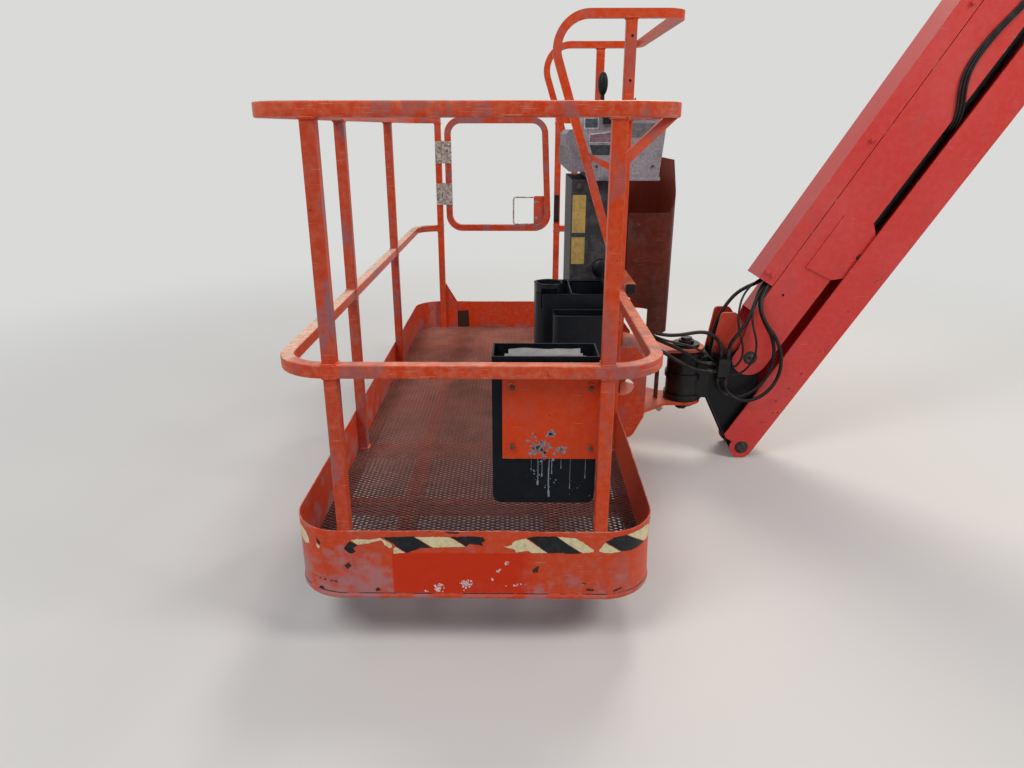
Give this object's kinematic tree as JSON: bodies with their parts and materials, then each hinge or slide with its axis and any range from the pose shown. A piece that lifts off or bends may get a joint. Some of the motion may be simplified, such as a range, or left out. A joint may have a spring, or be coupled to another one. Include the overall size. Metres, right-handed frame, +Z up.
{
  "type": "boom lift work platform with rotator and jib",
  "caption": "Side-mounted work platform of a telescopic boom lift: railed mesh floor, swing gate, controls, rotator, parallelogram jib with lift cylinder and the link to the boom.",
  "frame": {"origin": "centre of the boom pin's bore in the rear link", "axes": "+Z up, +Y along the boom pin and along the platform, +X from the platform towards the boom"},
  "size_m": [2.6645, 2.44, 2.0565],
  "materials": {
    "arm_paint": "gloss paint",
    "black_paint": "satin paint",
    "black_plastic": "moulded",
    "chrome_rod": "polished",
    "dark_plastic": "moulded",
    "galvanised_steel": "worn galvanised",
    "grey_box": "mottled",
    "hose_rubber": "matte",
    "orange_paint": "worn gloss paint",
    "pin_steel": "greased",
    "rusty_steel": "rusty"
  },
  "bodies": {
    "rear_link": {"rear_link": "arm_paint", "rear_upper_pin": "pin_steel", "rear_lower_pin": "pin_steel"},
    "upper_arm": {"upper_arm": "arm_paint", "arm_cover": "arm_paint", "belly_plates": "arm_paint", "belly_pin": "pin_steel", "lift_barrel": "black_paint", "front_upper_pin": "pin_steel", "arm_hoses": "hose_rubber"},
    "lower_arm": {"lower_arm": "arm_paint", "front_lower_pin": "pin_steel"},
    "front_link": {"front_link": "arm_paint", "rotator_housing": "black_paint", "valve_block": "black_paint", "platform_hoses": "hose_rubber"},
    "lift_rod": {"lift_rod": "chrome_rod", "lift_eye_pin": "pin_steel"},
    "gate": {"gate_frame": "orange_paint", "gate_hinge_gate_leaves": "galvanised_steel", "gate_latch_plate": "orange_paint", "gate_pull_rod": "galvanised_steel"},
    "platform": {"control_box": "grey_box", "control_column": "dark_plastic", "document_box": "black_paint", "document_box_plate": "orange_paint", "floor_frame": "orange_paint", "floor_mesh": "orange_paint", "front_pocket": "dark_plastic", "gate_catch": "black_paint", "gate_gusset": "orange_paint", "gate_hinge_pins": "galvanised_steel", "gate_hinge_post": "orange_paint", "gate_hinge_post_leaves": "galvanised_steel", "gate_latch_post": "orange_paint", "guard_hoop": "orange_paint", "guard_post_far": "orange_paint", "guard_post_near": "orange_paint", "guard_stay": "orange_paint", "hose_guard": "orange_paint", "joystick": "black_plastic", "lower_tongue": "orange_paint", "mid_rail": "orange_paint", "mid_rail_far_right": "orange_paint", "platform_bracket": "orange_paint", "post_left_far": "orange_paint", "post_left_near": "orange_paint", "post_near_left": "orange_paint", "post_near_right": "orange_paint", "rail_brace": "orange_paint", "rotator_shaft": "black_paint", "support_rail": "orange_paint", "toe_board": "orange_paint", "tongue_strut": "rusty_steel", "tool_tray": "dark_plastic", "top_rail": "orange_paint", "top_rail_far_right": "orange_paint", "upper_tongue": "orange_paint"}
  },
  "joints": [
    {"name": "jib_lift", "type": "hinge", "parent": "rear_link", "child": "upper_arm", "pos_m": [-0.19, 0, 0.12], "axis": [0, 1, 0], "range_deg": [-1, 129]},
    {"name": "lower_arm_turn", "type": "hinge", "parent": "rear_link", "child": "lower_arm", "pos_m": [-0.19, 0, -0.252], "axis": [0, 1, 0], "range_deg": [-1, 129]},
    {"name": "front_link_level", "type": "hinge", "parent": "upper_arm", "child": "front_link", "pos_m": [-1.13252, 0, -1.44862], "axis": [0, 1, 0], "range_deg": [-129, 1], "deforming": ["arm_hoses"]},
    {"name": "lift_cylinder", "type": "slide", "parent": "upper_arm", "child": "lift_rod", "axis": [0.515, 0, 0.8572], "range_m": [-0.00347, 0.44694]},
    {"name": "platform_rotation", "type": "hinge", "parent": "front_link", "child": "platform", "pos_m": [-1.36852, 0, -1.53312], "axis": [0, 0, 1], "range_deg": [-90, 90], "deforming": ["platform_hoses"]},
    {"name": "gate_swing", "type": "hinge", "parent": "platform", "child": "gate", "pos_m": [-2.43102, 1.181, -0.83462], "axis": [0, 0, -1], "range_deg": [0, 90], "stiffness_Nm_per_rad": 1.2, "springref_deg": -20.05}
  ],
  "couplings": [
    {"joint": "lower_arm_turn", "follows": "jib_lift", "ratio": 1},
    {"joint": "front_link_level", "follows": "jib_lift", "ratio": -1},
    {"joint": "lift_cylinder", "follows": "jib_lift", "m_per_rad": 0.19851}
  ]
}
